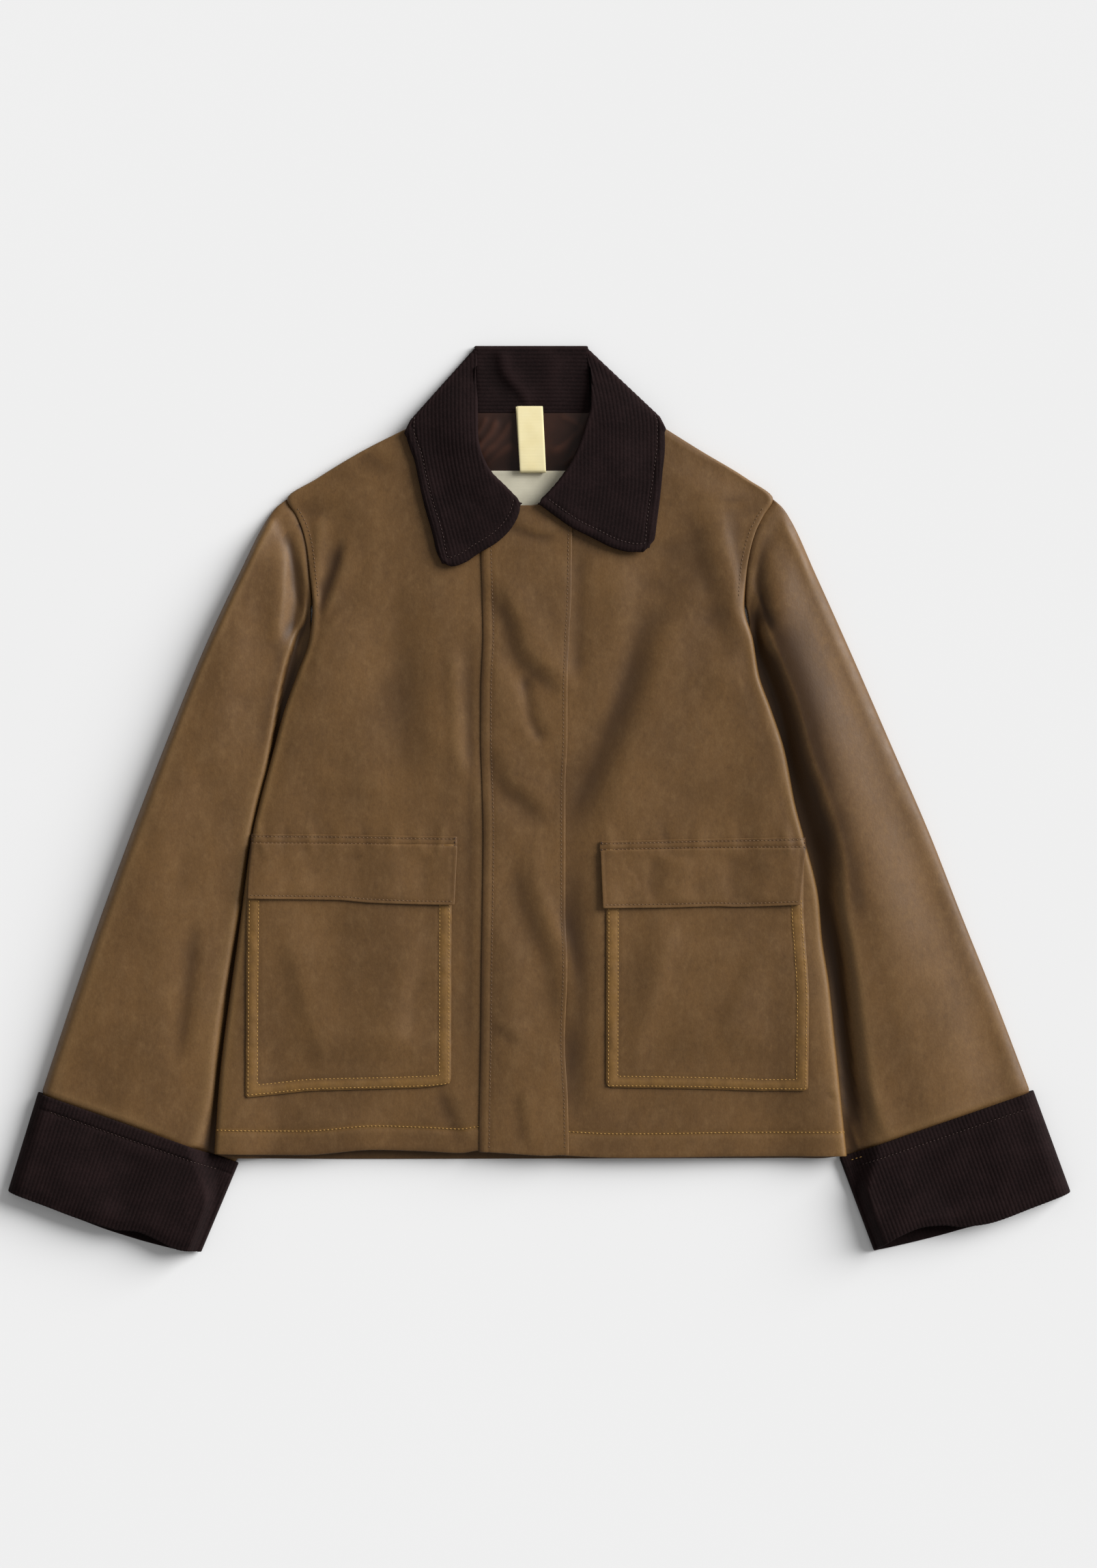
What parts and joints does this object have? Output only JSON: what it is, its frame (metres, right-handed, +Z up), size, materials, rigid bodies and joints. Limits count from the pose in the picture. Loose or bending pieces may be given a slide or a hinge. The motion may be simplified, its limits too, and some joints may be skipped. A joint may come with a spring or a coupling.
{
  "type": "waxed cotton jacket",
  "caption": "Short waxed cotton jacket lying closed and flat on its back, with corduroy collar and cuffs, flapped patch pockets, a covered front closing and a hanging loop.",
  "frame": {"origin": "on the floor, under the middle of the jacket's outline as it lies", "axes": "+X to the wearer's left, from one sleeve to the other; +Y up the jacket to its collar; +Z up from the floor, out of the fronts"},
  "size_m": [0.8697, 0.7404, 0.0206],
  "materials": {
    "waxed_cotton": "matt with a soft waxy sheen, olive brown",
    "corduroy": "ribbed pile, very dark brown",
    "satin": "smooth lining with a soft sheen, dark brown",
    "tape": "plain woven tape, cream",
    "label_cloth": "plain woven label, off-white"
  },
  "bodies": {
    "root": {"back": "waxed_cotton", "front_right": "waxed_cotton", "front_left": "waxed_cotton", "placket": "waxed_cotton", "pocket_right": "waxed_cotton", "pocket_left": "waxed_cotton", "band_right": "waxed_cotton", "band_left": "waxed_cotton", "flap_right": "waxed_cotton", "flap_left": "waxed_cotton", "sleeve_right": "waxed_cotton", "sleeve_left": "waxed_cotton", "cuff_right": "corduroy", "cuff_left": "corduroy", "collar_fall": "corduroy", "collar_stand": "corduroy", "lining_neck": "satin", "label": "label_cloth", "hanger_loop": "tape"}
  },
  "joints": []
}
